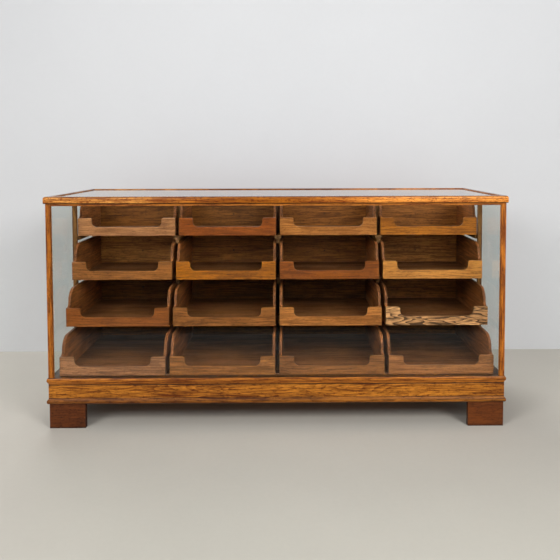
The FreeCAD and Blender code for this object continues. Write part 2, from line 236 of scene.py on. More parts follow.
# Arrises rubbed pale, found where a rounded normal leaves the true one
wearLook = {"flat": 0.98, "edge": 0.75, "patches": (38.0, 38.0, 38.0), "patchSpan": (0.38, 0.62)}


def makeEdgeWear():
    inputs = {"Place": ("Vector", None), "Amount": ("Float", 0.6), "Reach": ("Float", 0.0015)}
    tree, given, out = newGroup("edgeWear", inputs, {"Mask": "Float"})
    soft = addNode(tree, "Bevel", {"Radius": given["Reach"]}, samples=4).outputs[0]
    true = addNode(tree, "NewGeometry").outputs["Normal"]
    same = addNode(tree, "VectorMath", {0: soft, 1: true}, operation="DOT_PRODUCT").outputs["Value"]
    edge = rangeOf(tree, same, wearLook["flat"], wearLook["edge"])
    patchy = noiseOf(tree, given["Place"], wearLook["patches"], detail=3.0)
    patchy = rangeOf(tree, patchy, *wearLook["patchSpan"])
    mask = sums(tree, "MULTIPLY", edge, patchy)
    mask = sums(tree, "MULTIPLY", mask, given["Amount"], clamp=True)
    tree.links.new(mask, out["Mask"])
    return tree


# Grime and handling marks: soft dark patches, and a few small dents
grimeLook = {
    "clouds": (6.5, 6.5, 6.5), "cloudSpan": (0.48, 0.78), "dents": (70.0, 70.0, 70.0),
    "dentSpan": (0.72, 0.78),
}


def makeGrime():
    inputs = {"Place": ("Vector", None), "Amount": ("Float", 0.3)}
    tree, given, out = newGroup("grime", inputs, {"Mask": "Float", "Dents": "Float"})
    clouds = noiseOf(tree, given["Place"], grimeLook["clouds"], detail=4.0, roughness=0.62)
    clouds = rangeOf(tree, clouds, *grimeLook["cloudSpan"])
    dents = noiseOf(tree, given["Place"], grimeLook["dents"], detail=1.0)
    dents = rangeOf(tree, dents, *grimeLook["dentSpan"])
    mask = sums(tree, "MULTIPLY", sums(tree, "ADD", clouds, dents), given["Amount"], clamp=True)
    tree.links.new(mask, out["Mask"])
    tree.links.new(dents, out["Dents"])
    return tree


oakGrain = makeOakGrain()
edgeWear = makeEdgeWear()
grime = makeGrime()

directions = {"X": Vector((1, 0, 0)), "Y": Vector((0, 1, 0)), "Z": Vector((0, 0, 1))}
# Turns that bring a board's own grain direction onto X
grainTurn = {"X": (0, 0, 0), "Y": (0, 0, -math.pi / 2), "Z": (0, math.pi / 2, 0)}

# Dirt-and-shade creases are (height, reach, amount): dark lines at given heights, partly dirt in
# the joints and partly painted shade under overhangs and along the floor. Tint bands are
# (middle, reach, tint), spread along X.
oakFinishes = {
    "frame": {
        "Dark": (0.142, 0.03, 0.002), "Light": (0.57, 0.187, 0.02), "Pore": (0.06, 0.014, 0.002),
        "Along": 1.1, "Across": 22.0, "Rings": 11.0, "Ring Depth": 0.35, "Streak Depth": 0.85,
        "Flecks": 0.3, "Pores": 0.6, "roughness": 0.44, "gloss": 0.08, "wear": 0.35,
        # painted shade on the upper moulding's top, under the trays, and a painted shadow under its
        # nose
        "dirtShadeCreases": ((0.2036, 0.0018, 0.9), (0.1762, 0.0026, 0.95)),
    },
    "post": {
        "Dark": (0.16, 0.034, 0.002), "Light": (0.64, 0.21, 0.022), "Pore": (0.07, 0.016, 0.002),
        "Along": 1.1, "Across": 22.0, "Rings": 11.0, "Ring Depth": 0.35, "Streak Depth": 0.85,
        "Flecks": 0.3, "Pores": 0.6, "roughness": 0.44, "gloss": 0.08, "wear": 0.35,
        # painted shade on the left posts and painted light on the right ones
        "tintBands": ((-0.9, 0.5, (0.79, 0.74, 0.64)), (0.9, 0.5, (1.08, 1.04, 0.9))),
    },
    # Painted sheen: the top rail's oak is paler than the frame's, and paler and bluer toward both
    # ends
    "top": {
        "Dark": (0.25, 0.048, 0.003), "Light": (0.95, 0.325, 0.045), "Pore": (0.13, 0.026, 0.003),
        "Along": 1.6, "Across": 26.0, "Rings": 9.0, "Ring Depth": 0.3, "Streak Depth": 0.6,
        "Tone Depth": 0.5, "Flecks": 0.5, "Pores": 0.7, "roughness": 0.4, "gloss": 0.08,
        "wear": 0.3, "topGloss": 0.85, "coatRoughness": 0.12,
        # a painted shadow along the rail's lower edge, dirt in the glass rebate, painted shade on
        # the top face
        "dirtShadeCreases": ((0.8982, 0.0030, 0.85), (0.9230, 0.0024, 0.5), (0.9254, 0.0016, 0.6)),
        "tintBands": (
            (-0.1, 0.55, (0.57, 0.51, 0.2)),
            (-0.75, 0.45, (1.1, 1.42, 2.2)),
            (0.72, 0.5, (1.2, 1.34, 1.7)),
        ),
    },
    "plinth": {
        "Dark": (0.13, 0.026, 0.001), "Light": (0.66, 0.235, 0.022), "Pore": (0.06, 0.014, 0.001),
        "Along": 2.2, "Across": 20.0, "Rings": 15.0, "Ring Depth": 0.7, "Streak Depth": 0.6,
        "Tone Depth": 0.5, "Flecks": 0.3, "Pores": 0.8, "roughness": 0.46, "gloss": 0.06,
        # a painted shadow under the upper moulding's nose, and dirt in the joint with the lower
        # moulding
        "wear": 0.35, "grime": 0.35, "dirtShadeCreases": ((0.1756, 0.0028, 0.85), (0.1228, 0.0016, 0.4)),
    },
    "lowMoulding": {
        "Dark": (0.08, 0.018, 0.001), "Light": (0.42, 0.145, 0.016), "Pore": (0.04, 0.01, 0.001),
        "Along": 2.2, "Across": 20.0, "Rings": 12.0, "Ring Depth": 0.5, "Streak Depth": 0.6,
        "Flecks": 0.3, "Pores": 0.7, "roughness": 0.46, "gloss": 0.06,
        "grime": 0.4, "dirtShadeCreases": ((0.1234, 0.0022, 0.6), (0.0996, 0.0026, 0.9)),
        "tintBands": ((-0.8, 0.7, (0.78, 0.74, 0.9)),),
    },
    "foot": {
        "Dark": (0.040, 0.009, 0.002), "Light": (0.19, 0.048, 0.008), "Pore": (0.02, 0.006, 0.002),
        "Along": 1.4, "Across": 20.0, "Rings": 9.0, "Ring Depth": 0.2, "Streak Depth": 0.28,
        "Tone Depth": 0.6, "Flecks": 0.35, "Pores": 0.5, "roughness": 0.5, "grime": 0.5,
        # darker towards the floor, and a painted shadow under the lower moulding
        "dirtShadeCreases": ((0.0, 0.009, 0.7), (0.1, 0.003, 0.8)),
    },
    "inner": {
        "Dark": (0.07, 0.024, 0.004), "Light": (0.26, 0.11, 0.025), "Pore": (0.05, 0.018, 0.005),
        "Along": 0.9, "Across": 14.0, "roughness": 0.62, "gloss": 0.0, "wear": 0.3, "grime": 0.4,
    },
    "upright": {
        "Dark": (0.07, 0.024, 0.004), "Light": (0.26, 0.11, 0.025), "Pore": (0.05, 0.018, 0.005),
        "Along": 0.9, "Across": 14.0, "roughness": 0.62, "gloss": 0.0, "wear": 0.2, "grime": 0.4,
        # painted shade: the inner uprights darkened, most near the middle, for the shade between the
        # trays
        "tintBands": ((0.0, 0.78, (0.3, 0.24, 0.27)),),
    },
    "dustyDeck": {
        "Dark": (0.24, 0.11, 0.05), "Light": (0.52, 0.27, 0.14), "Pore": (0.13, 0.06, 0.03),
        "Along": 0.9, "Across": 14.0, "roughness": 0.7, "gloss": 0.0, "wear": 0.0, "grime": 0.3,
    },
    "traySide": {
        "Dark": (0.082, 0.023, 0.004), "Light": (0.31, 0.098, 0.025), "Pore": (0.045, 0.013, 0.003),
        "Along": 0.9, "Across": 14.0, "roughness": 0.55, "gloss": 0.0, "wear": 0.45, "grime": 0.35,
        "endGrain": 0.25,
    },
    "trayFloor": {
        "Dark": (0.086, 0.028, 0.007), "Light": (0.246, 0.088, 0.028), "Pore": (0.045, 0.015, 0.004),
        "Along": 0.9, "Across": 11.0, "Rings": 9.0, "roughness": 0.6, "gloss": 0.0, "grime": 0.4,
    },
    # Painted light and shade: the tray backs are one wood in three copies, shaded, half lit and lit
    "shadedBack": {
        "Dark": (0.064, 0.018, 0.0015), "Light": (0.205, 0.067, 0.009), "Pore": (0.03, 0.01, 0.002),
        "Along": 0.9, "Across": 16.0, "roughness": 0.6, "gloss": 0.0, "wear": 0.3, "grime": 0.3,
    },
    "halfLitBack": {
        "Dark": (0.100, 0.028, 0.003), "Light": (0.305, 0.101, 0.016), "Pore": (0.04, 0.013, 0.003),
        "Along": 0.9, "Across": 16.0, "roughness": 0.6, "gloss": 0.0, "wear": 0.3, "grime": 0.3,
    },
    "litBack": {
        "Dark": (0.150, 0.047, 0.007), "Light": (0.510, 0.190, 0.040), "Pore": (0.05, 0.017, 0.004),
        "Along": 0.9, "Across": 16.0, "roughness": 0.6, "gloss": 0.0, "wear": 0.3, "grime": 0.3,
    },
    "coarse": {
        "Dark": (0.060, 0.022, 0.006), "Light": (0.68, 0.32, 0.125), "Pore": (0.03, 0.012, 0.004),
        "Along": 5.5, "Across": 36.0, "Rings": 8.0, "Ring Depth": 1.2, "Streak Depth": 0.4,
        "Flecks": 0.1, "Pores": 0.8,
    },
}
# The trays' own woods, as dark, light and pore colours
trayWoods = {
    "pinkTan": ((0.233, 0.083, 0.026), (0.522, 0.216, 0.081), (0.12, 0.045, 0.014)),
    "redBrown": ((0.158, 0.031, 0.001), (0.339, 0.074, 0.003), (0.08, 0.018, 0.002)),
    "orangeTan": ((0.251, 0.074, 0.010), (0.559, 0.198, 0.038), (0.12, 0.036, 0.006)),
    "golden": ((0.209, 0.055, 0.002), (0.520, 0.161, 0.007), (0.10, 0.026, 0.002)),
    "darkGold": ((0.130, 0.033, 0.001), (0.354, 0.101, 0.002), (0.06, 0.016, 0.001)),
    "paleGold": ((0.183, 0.060, 0.009), (0.488, 0.186, 0.034), (0.09, 0.03, 0.006)),
    "chestnut": ((0.101, 0.022, 0.002), (0.231, 0.057, 0.005), (0.05, 0.012, 0.001)),
    "russet": ((0.118, 0.028, 0.003), (0.271, 0.074, 0.010), (0.06, 0.015, 0.002)),
    "brown": ((0.108, 0.032, 0.004), (0.287, 0.094, 0.018), (0.05, 0.016, 0.003)),
    "paleBrown": ((0.130, 0.042, 0.007), (0.342, 0.123, 0.028), (0.07, 0.022, 0.004)),
    "warmTan": ((0.174, 0.052, 0.007), (0.409, 0.140, 0.028), (0.08, 0.025, 0.004)),
    "greyTan": ((0.142, 0.051, 0.017), (0.340, 0.139, 0.058), (0.06, 0.024, 0.008)),
    "dullBrown": ((0.100, 0.032, 0.007), (0.250, 0.090, 0.023), (0.04, 0.014, 0.003)),
    "dullTan": ((0.129, 0.040, 0.008), (0.296, 0.110, 0.035), (0.05, 0.018, 0.004)),
}
for wood, colours in trayWoods.items():
    oakFinishes[wood] = dict(zip(("Dark", "Light", "Pore"), colours))

# What a finish doesn't say itself
plainFinish = {
    "Along": 1.7, "Across": 24.0, "Rings": 11.0, "Ring Depth": 0.5, "Streak Depth": 0.65,
    "Tone Depth": 0.45, "Flecks": 0.35, "Pores": 0.65, "roughness": 0.48, "gloss": 0.05,
    "wear": 0.4, "grime": 0.22, "endGrain": 0.6, "dirtShadeCreases": (), "tintBands": (), "topGloss": 0.0,
    "coatRoughness": 0.28,
}
grainInputs = (
    "Dark", "Light", "Pore", "Along", "Across", "Rings", "Ring Depth", "Streak Depth",
    "Tone Depth", "Flecks", "Pores",
)
oakSurface = {
    "paleGain": 1.25, "paleLift": 0.02, "endFacing": (0.45, 0.95), "upFacing": (0.8, 0.98),
    "bandCore": 0.2, "creaseCore": 0.4, "creaseDirtShadeColour": (0.016, 0.006, 0.002, 1.0),
    "creasePatches": (30.0, 30.0, 30.0), "patchSpan": (0.2, 0.5, 0.55, 1.0),
    "toneRough": -0.22, "roughLift": 0.11, "dirtRough": 0.3, "reliefStrength": 0.35,
    "reliefDepth": 0.0006, "specular": 0.2,
}


# Each tint band multiplies the colour by its tint near its middle along X, fading out over its reach
def addTintBands(tree, place, colour, tintBands):
    for middle, reach, tint in tintBands:
        along = addNode(tree, "SeparateXYZ", {0: place}).outputs["X"]
        away = sums(tree, "ABSOLUTE", sums(tree, "SUBTRACT", along, middle))
        share = rangeOf(tree, away, reach, reach * oakSurface["bandCore"])
        colour = blendColours(tree, share, colour, (*tint, 1.0), "MULTIPLY")
    return colour


# Painted shade and dirt: a dark line, broken into patches, at each crease's height
def addDirtShadeLines(tree, place, colour, dirtShadeCreases):
    if not dirtShadeCreases:
        return colour
    height = addNode(tree, "SeparateXYZ", {0: place}).outputs["Z"]
    patches = noiseOf(tree, place, oakSurface["creasePatches"], detail=2.0)
    patches = rangeOf(tree, patches, *oakSurface["patchSpan"])
    for level, reach, amount in dirtShadeCreases:
        away = sums(tree, "ABSOLUTE", sums(tree, "SUBTRACT", height, level))
        line = rangeOf(tree, away, reach, reach * oakSurface["creaseCore"], 0.0, amount)
        line = sums(tree, "MULTIPLY", line, patches)
        colour = blendColours(tree, line, colour, oakSurface["creaseDirtShadeColour"])
    return colour


def makeOak(finishName, run):
    name = "oak_" + finishName + "_" + run
    if name in bpy.data.materials:
        return bpy.data.materials[name]
    finish = {**plainFinish, **oakFinishes[finishName]}
    material, tree, output = newMaterial(name)
    coordinates = addNode(tree, "TexCoord").outputs
    place, normal = coordinates["Object"], coordinates["Normal"]
    turned = addNode(tree, "Mapping", {"Vector": place, "Rotation": grainTurn[run]}).outputs[0]
    values = {"Place": turned}
    for key in grainInputs:
        value = finish[key]
        values[key] = (*value, 1.0) if isinstance(value, tuple) else value
    grain = useGroup(tree, oakGrain, values)
    dirt = useGroup(tree, grime, {"Place": place, "Amount": finish["grime"]})
    worn = useGroup(tree, edgeWear, {"Place": place, "Amount": finish["wear"]})
    dark = (*finish["Pore"], 1.0)
    colour = blendColours(tree, dirt["Mask"], grain["Color"], dark)
    gain, lift = oakSurface["paleGain"], oakSurface["paleLift"]
    pale = tuple(min(1.0, gain * channel + lift) for channel in finish["Light"])
    colour = blendColours(tree, worn["Mask"], colour, (*pale, 1.0))
    # end grain drinks the stain and dries darker
    facing = addNode(tree, "VectorMath", {0: normal, 1: directions[run]}, operation="DOT_PRODUCT")
    facing = sums(tree, "ABSOLUTE", facing.outputs["Value"])
    endGrain = rangeOf(tree, facing, *oakSurface["endFacing"], 0.0, finish["endGrain"])
    colour = blendColours(tree, endGrain, colour, dark)
    colour = addTintBands(tree, place, colour, finish["tintBands"])
    colour = addDirtShadeLines(tree, place, colour, finish["dirtShadeCreases"])
    rough = finish["roughness"] + oakSurface["roughLift"]
    rough = sums(tree, "MULTIPLY_ADD", grain["Tone"], oakSurface["toneRough"], rough)
    rough = sums(tree, "MULTIPLY_ADD", dirt["Mask"], oakSurface["dirtRough"], rough, clamp=True)
    relief = {
        "Strength": oakSurface["reliefStrength"], "Distance": oakSurface["reliefDepth"],
        "Height": sums(tree, "SUBTRACT", grain["Height"], dirt["Dents"]),
    }
    gloss = finish["gloss"]
    if finish["topGloss"]:
        up = addNode(tree, "SeparateXYZ", {0: normal}).outputs["Z"]
        gloss = rangeOf(tree, up, *oakSurface["upFacing"], gloss, finish["topGloss"])
    bump = addNode(tree, "Bump", relief).outputs[0]
    values = {
        "Base Color": colour, "Roughness": rough, "Normal": bump,
        "Coat Weight": gloss, "Coat Roughness": finish["coatRoughness"],
        "Specular IOR Level": oakSurface["specular"],
    }
    shader = addNode(tree, "BsdfPrincipled", values)
    tree.links.new(shader.outputs[0], output.inputs["Surface"])
    return material


print("oak ready")


# Old plate glass, a little green, with dust and slight waves
glassFinish = {
    "tint": (0.94, 0.99, 0.975, 1.0), "dustTint": (0.94, 0.96, 0.94, 1.0),
    "lampTint": (0.9, 0.93, 0.91, 1.0), "waves": (3.0, 3.0, 3.0), "waveStrength": 0.04,
    "waveDepth": 0.002, "dust": (5.0, 5.0, 5.0), "dustSpan": (0.4, 0.75),
}
# Each pane's index of refraction, and how rough its dust is
paneLooks = {"frontGlass": (1.3, 0.004), "sideGlass": (1.35, 0.006), "topGlass": (1.5, 0.02)}


def makeGlass(name, ior, dustRough):
    material, tree, output = newMaterial(name)
    place = addNode(tree, "TexCoord").outputs["Object"]
    waves = {
        "Strength": glassFinish["waveStrength"], "Distance": glassFinish["waveDepth"],
        "Height": noiseOf(tree, place, glassFinish["waves"], detail=1.0),
    }
    dust = noiseOf(tree, place, glassFinish["dust"], detail=2.0)
    dust = rangeOf(tree, dust, *glassFinish["dustSpan"])
    values = {
        "Base Color": blendColours(tree, dust, glassFinish["tint"], glassFinish["dustTint"]),
        "Roughness": sums(tree, "MULTIPLY", dust, dustRough),
        "Normal": addNode(tree, "Bump", waves).outputs[0], "IOR": ior, "Transmission Weight": 1.0,
    }
    pane = addNode(tree, "BsdfPrincipled", values)
    clear = addNode(tree, "BsdfTransparent", {"Color": glassFinish["lampTint"]})
    lamp = addNode(tree, "LightPath").outputs["Is Shadow Ray"]
    mix = addNode(tree, "MixShader", {0: lamp, 1: pane.outputs[0], 2: clear.outputs[0]})
    tree.links.new(mix.outputs[0], output.inputs["Surface"])
    return material


# Aged brass with brown tarnish in patches, rubbed bright on its edges. The knobs' screws,
# inside the trays, are dark iron. The knobs stand out past the trays' backs by knobOut.
brassFinish = {
    "bright": (0.78, 0.55, 0.22, 1.0), "rubbed": (0.86, 0.66, 0.32, 1.0),
    "tarnish": (0.25, 0.14, 0.05, 1.0), "patches": (60.0, 60.0, 60.0), "patchSpan": (0.38, 0.72),
    "scratches": (900.0, 900.0, 120.0), "scratchStrength": 0.15, "scratchDepth": 0.0002,
    "roughness": 0.22, "tarnishRough": 0.35, "wear": 0.8, "wearReach": 0.002,
    "iron": (0.045, 0.036, 0.03, 1.0), "ironRough": 0.3, "knobOut": 0.024, "ironFade": 0.0005,
}


def makeBrass():
    finish = brassFinish
    material, tree, output = newMaterial("agedBrass")
    place = addNode(tree, "TexCoord").outputs["Object"]
    tarnish = noiseOf(tree, place, finish["patches"], detail=5.0, roughness=0.7)
    tarnish = rangeOf(tree, tarnish, *finish["patchSpan"])
    colour = blendColours(tree, tarnish, finish["bright"], finish["tarnish"])
    rough = sums(tree, "MULTIPLY_ADD", tarnish, finish["tarnishRough"], finish["roughness"])
    wear = {"Place": place, "Amount": finish["wear"], "Reach": finish["wearReach"]}
    worn = useGroup(tree, edgeWear, wear)
    colour = blendColours(tree, worn["Mask"], colour, finish["rubbed"])
    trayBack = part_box("tray_row1_col1_knob")[1].y - finish["knobOut"]
    depth = addNode(tree, "SeparateXYZ", {0: place}).outputs["Y"]
    screw = rangeOf(tree, depth, trayBack, trayBack - finish["ironFade"])
    colour = blendColours(tree, screw, colour, finish["iron"])
    rough = sums(tree, "MULTIPLY_ADD", screw, finish["ironRough"], rough, clamp=True)
    scratches = {
        "Strength": finish["scratchStrength"], "Distance": finish["scratchDepth"],
        "Height": noiseOf(tree, place, finish["scratches"], detail=2.0),
    }
    values = {
        "Base Color": colour, "Roughness": rough, "Metallic": 1.0,
        "Normal": addNode(tree, "Bump", scratches).outputs[0],
    }
    shader = addNode(tree, "BsdfPrincipled", values)
    tree.links.new(shader.outputs[0], output.inputs["Surface"])
    return material


glasses = {name: makeGlass(name, ior, dustRough) for name, (ior, dustRough) in paneLooks.items()}
brass = makeBrass()
print("glass and brass ready")


# Modelling helpers. Each works on one active piece, whose origin is the frame's.
plateTurns = {"X": (0, math.pi / 2, 0), "Y": (math.pi / 2, 0, 0), "Z": (0, 0, 0)}
roundSteps = 8
edgeFinish = {"segments": 2, "bevelAngle": 32, "smoothAngle": 20}
tolerances = {"corner": 0.0001, "merge": 0.00002, "flatAngle": 0.01}
boardEdge, mouldingEdge = 0.0008, 0.0005


def selectNothing():
    if bpy.context.mode != "OBJECT":
        bpy.ops.object.mode_set(mode="OBJECT")
    bpy.ops.object.select_all(action="DESELECT")


def onlyActive(piece):
    selectNothing()
    piece.select_set(True)
    bpy.context.view_layer.objects.active = piece


def settle(piece):
    onlyActive(piece)
    bpy.ops.object.transform_apply(location=True, rotation=True, scale=True)


def middleOf(part):
    if isinstance(part, bmesh.types.BMVert):
        return part.co
    if isinstance(part, bmesh.types.BMEdge):
        return (part.verts[0].co + part.verts[1].co) / 2
    return part.calc_center_median()


def pick(piece, kind, test):
    bpy.ops.mesh.select_mode(type=kind)
    bpy.ops.mesh.select_all(action="DESELECT")
    shape = bmesh.from_edit_mesh(piece.data)
    parts = {"VERT": shape.verts, "EDGE": shape.edges, "FACE": shape.faces}[kind]
    for part in parts:
        if test(middleOf(part)):
            part.select_set(True)
    shape.select_flush_mode()
    bmesh.update_edit_mesh(piece.data)


# A flat plate square to one axis, cut along lines, with the unwanted cells dropped and its
# corners rounded. Rounds are (corner, radius).
def cutPlate(name, axis, low, high, cuts=(), drop=None, rounds=()):
    low, high = Vector(low), Vector(high)
    width, depth, height = high - low
    scales = {"X": (height, depth, 1), "Y": (width, height, 1), "Z": (width, depth, 1)}
    middle = (low + high) / 2
    selectNothing()
    bpy.ops.mesh.primitive_plane_add(size=1, location=middle, rotation=plateTurns[axis])
    plate = bpy.context.object
    plate.name = plate.data.name = name
    plate.scale = scales[axis]
    settle(plate)
    bpy.ops.object.mode_set(mode="EDIT")
    for across, place in cuts:
        bpy.ops.mesh.select_all(action="SELECT")
        bpy.ops.mesh.bisect(plane_co=directions[across] * place, plane_no=directions[across])
    if drop:
        pick(plate, "FACE", drop)
        bpy.ops.mesh.delete(type="FACE")
        bpy.ops.mesh.select_all(action="SELECT")
        bpy.ops.mesh.dissolve_limited(angle_limit=tolerances["flatAngle"])
    for corner, radius in rounds:
        corner = Vector(corner)
        pick(plate, "VERT", lambda co: (co - corner).length < tolerances["corner"])
        bpy.ops.mesh.bevel(
            offset=radius, affect="VERTICES", segments=roundSteps, profile=0.5, clamp_overlap=False,
        )
    bpy.ops.mesh.select_all(action="SELECT")
    bpy.ops.mesh.remove_doubles(threshold=tolerances["merge"])
    return plate


# A flat outline traced point by point, as a face with corners where the points are
def traceFace(name, points):
    selectNothing()
    bpy.ops.mesh.primitive_plane_add(size=0.01, location=points[0])
    face = bpy.context.object
    face.name = face.data.name = name
    settle(face)
    bpy.ops.object.mode_set(mode="EDIT")
    bpy.ops.mesh.select_all(action="SELECT")
    bpy.ops.mesh.merge(type="CENTER")
    for last, point in zip(points, points[1:]):
        move = Vector(point) - Vector(last)
        bpy.ops.mesh.extrude_region_move(TRANSFORM_OT_translate={"value": move})
    bpy.ops.mesh.select_all(action="SELECT")
    bpy.ops.mesh.edge_face_add()
    return face


# Points on an arc from start to end that bulges by sag to the left, or right if negative
def arcPoints(start, end, sag, steps):
    start, end = Vector(start), Vector(end)
    chord = end - start
    side = Vector((-chord.y, chord.x)).normalized()
    radius = (chord.length ** 2 / 4 + sag ** 2) / (2 * abs(sag))
    half = math.asin(chord.length / 2 / radius)
    hand = math.copysign(1, sag)
    centre = (start + end) / 2 - side * hand * (radius - abs(sag))
    points = []
    for step in range(steps + 1):
        angle = -half + 2 * half * step / steps
        across = chord.normalized() * math.sin(angle) * radius
        points.append(tuple(centre + across + side * hand * radius * math.cos(angle)))
    return points


# The active plate pushed out along one axis
def thicken(axis, distance):
    bpy.ops.mesh.select_all(action="SELECT")
    move = directions[axis] * distance
    bpy.ops.mesh.extrude_region_move(TRANSFORM_OT_translate={"value": move})
    bpy.ops.mesh.select_all(action="SELECT")
    bpy.ops.mesh.normals_make_consistent(inside=False)


def trim(place, normal):
    bpy.ops.mesh.select_all(action="SELECT")
    bpy.ops.mesh.bisect(plane_co=place, plane_no=normal, use_fill=True, clear_outer=True)


def softenEdges(piece, width):
    onlyActive(piece)
    edges = piece.modifiers.new("edges", "BEVEL")
    edges.width = width
    edges.segments = edgeFinish["segments"]
    edges.limit_method = "ANGLE"
    edges.angle_limit = math.radians(edgeFinish["bevelAngle"])
    bpy.ops.object.modifier_apply(modifier=edges.name)
    bpy.ops.object.shade_smooth_by_angle(angle=math.radians(edgeFinish["smoothAngle"]))


# A plate made as thick as a board, with its edges softened
def thickBoard(plate, axis, distance, edge):
    thicken(axis, distance)
    softenEdges(plate, edge)
    return plate


def copyPiece(piece, name, shift=(0, 0, 0), scale=(1, 1, 1)):
    onlyActive(piece)
    bpy.ops.object.duplicate(linked=False)
    twin = bpy.context.object
    twin.name = twin.data.name = name
    twin.location = shift
    twin.scale = scale
    settle(twin)
    if scale[0] * scale[1] * scale[2] < 0:
        bpy.ops.object.mode_set(mode="EDIT")
        bpy.ops.mesh.select_all(action="SELECT")
        bpy.ops.mesh.normals_make_consistent(inside=False)
        bpy.ops.object.mode_set(mode="OBJECT")
    return twin


def dress(piece, body, slotName, material, *nodes):
    piece.data.materials.clear()
    piece.data.materials.append(material)
    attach(piece, body)
    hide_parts(*nodes)


def board(name, low, high, edge=boardEdge):
    low, high = Vector(low), Vector(high)
    plate = cutPlate(name, "Z", low, (high.x, high.y, low.z))
    return thickBoard(plate, "Z", high.z - low.z, edge)


# One side of a mitred frame. A section is given outwards from the posts' faces and upwards,
# and is drawn along the front before the side is turned into its place.
postLow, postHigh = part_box("post_front_left")
outerX = -postLow.x
outerY = middleY - postLow.y
sideTurns = {"front": 0, "right": 90, "back": 180, "left": 270}


def mitredSide(name, side, section, edge=mouldingEdge, cuts=()):
    alongX = side in ("front", "back")
    run, reach = (outerX, outerY) if alongX else (outerY, outerX)
    start = -run - max(out for out, up in section)
    bar = traceFace(name, [(start, -reach - out, up) for out, up in section])
    thicken("X", -2 * start)
    for hand in (-1, 1):
        trim((hand * run, -reach, 0), (hand, 1, 0))
    for x, way in cuts:
        trim((x, 0, 0), (way, 0, 0))
    bpy.ops.object.mode_set(mode="OBJECT")
    bar.rotation_euler.z = math.radians(sideTurns[side])
    bar.location.y = middleY
    settle(bar)
    softenEdges(bar, edge)
    return bar


# Sections as (outwards, up), from the lower inner corner by way of the outer side
topRail = [
    (-0.0255, 0.897),
    *arcPoints((0.0035, 0.897), (0.0065, 0.900), -0.00088, 4),
    *arcPoints((0.0065, 0.917), (-0.0015, 0.925), -0.00234, 8),
    (-0.0155, 0.925), (-0.0155, 0.915), (-0.0255, 0.915),
]
upperMoulding = [
    (-0.0325, 0.175), (0.0, 0.175),
    *arcPoints((0.0, 0.178), (0.0041, 0.187), 0.0011, 6),
    *arcPoints((0.0041, 0.187), (0.0025, 0.203), -0.0022, 8)[1:],
    (-0.0325, 0.203),
]
# The back's upper moulding stops at the deck, so that the bottom trays pass over it
deckTop = 0.199
threshold = [(out, up) for out, up in upperMoulding if up < deckTop]
threshold += [(threshold[-1][0] - 0.0003, deckTop), (upperMoulding[0][0], deckTop)]
lowerMoulding = [
    (-0.060, 0.100),
    *arcPoints((0.003, 0.100), (0.0043, 0.115), -0.0024, 8),
    *arcPoints((0.0043, 0.115), (0.0, 0.123), 0.0013, 6)[1:],
    (-0.060, 0.123),
]
plinth = [(-0.020, 0.123), (0.0, 0.123), (0.0, 0.175), (-0.020, 0.175)]
plinthNodes = {
    "front": "plinth_front", "back": "plinth_back", "right": "plinth_ends", "left": "plinth_ends",
}


def makeFrame():
    for side in sideTurns:
        run = "X" if side in ("front", "back") else "Y"
        rail = mitredSide("top_rail_oak_" + side, side, topRail)
        dress(rail, "carcase", "frame_oak", makeOak("top", run), "top_rail_" + side)
        uppers = [(side, upperMoulding, ())]
        if side == "back":
            # a low threshold, with a corner piece of full height under each back post
            inner = outerX - (postHigh.x - postLow.x)
            uppers = [
                ("back", threshold, [(inner, 1), (-inner, -1)]),
                ("corner_left", upperMoulding, [(inner, -1)]),
                ("corner_right", upperMoulding, [(-inner, 1)]),
            ]
        for label, section, cuts in uppers:
            upper = mitredSide("upper_moulding_" + label, side, section, cuts=cuts)
            dress(upper, "carcase", "frame_oak", makeOak("frame", run), "upper_moulding")
        face = mitredSide("plinth_board_" + side, side, plinth, boardEdge)
        dress(face, "carcase", "frame_oak", makeOak("plinth", run), plinthNodes[side])
        low = mitredSide("lower_moulding_" + side, side, lowerMoulding)
        dress(low, "carcase", "frame_oak", makeOak("lowMoulding", run), "lower_moulding")


makeFrame()
print("frame modelled")

# Posts, rounded a little on their four arrises
postFinish = {"round": 0.0012, "edge": 0.0004}


def makePosts():
    for place in ("front_left", "front_right", "back_left", "back_right"):
        low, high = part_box("post_" + place)
        corners = [(x, y, low.z) for x in (low.x, high.x) for y in (low.y, high.y)]
        rounds = [(corner, postFinish["round"]) for corner in corners]
        plate = cutPlate("post_oak_" + place, "Z", low, (high.x, high.y, low.z), rounds=rounds)
        post = thickBoard(plate, "Z", high.z - low.z, postFinish["edge"])
        dress(post, "carcase", "frame_oak", makeOak("post", "Z"), "post_" + place)


makePosts()
print("posts modelled")

# Bracket feet: mitred boards with a glued block behind. One corner is made and mirrored.
foot = {"board": 0.022, "edge": 0.001, "blockSide": 0.036, "blockShort": 0.006}


def footBoard(name, low, high, outwards):
    plate = cutPlate(name, "Z", low, (high[0], high[1], low.z))
    bpy.ops.mesh.bisect(plane_co=low, plane_no=outwards, clear_outer=True)
    return thickBoard(plate, "Z", high[2] - low.z, foot["edge"])


def footCorner():
    low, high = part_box("foot_front_left")
    thick = foot["board"]
    face = footBoard("foot_face", low, (high.x, low.y + thick, high.z), (-1, 1, 0))
    side = footBoard("foot_side", low, (low.x + thick, high.y, high.z), (1, -1, 0))
    blockLow = low + Vector((thick, thick, foot["blockShort"]))
    reach = Vector((foot["blockSide"], foot["blockSide"], 0))
    blockHigh = (*(blockLow + reach).xy, high.z)
    block = board("foot_block", blockLow, blockHigh)
    return [(face, "X", "face"), (side, "Y", "side"), (block, "Z", "block")]


def makeFeet():
    parts = footCorner()
    for end, flipY in (("front", 1), ("back", -1)):
        for hand, flipX in (("left", 1), ("right", -1)):
            place = end + "_" + hand
            for part, run, label in parts:
                shift = (0, middleY * (1 - flipY), 0)
                twin = copyPiece(part, "foot_" + label + "_" + place, shift, (flipX, flipY, 1))
                finish = "inner" if label == "block" else "foot"
                dress(twin, "carcase", "foot_oak", makeOak(finish, run), "foot_" + place)
    for part, run, label in parts:
        bpy.data.objects.remove(part)


makeFeet()
print("feet modelled")


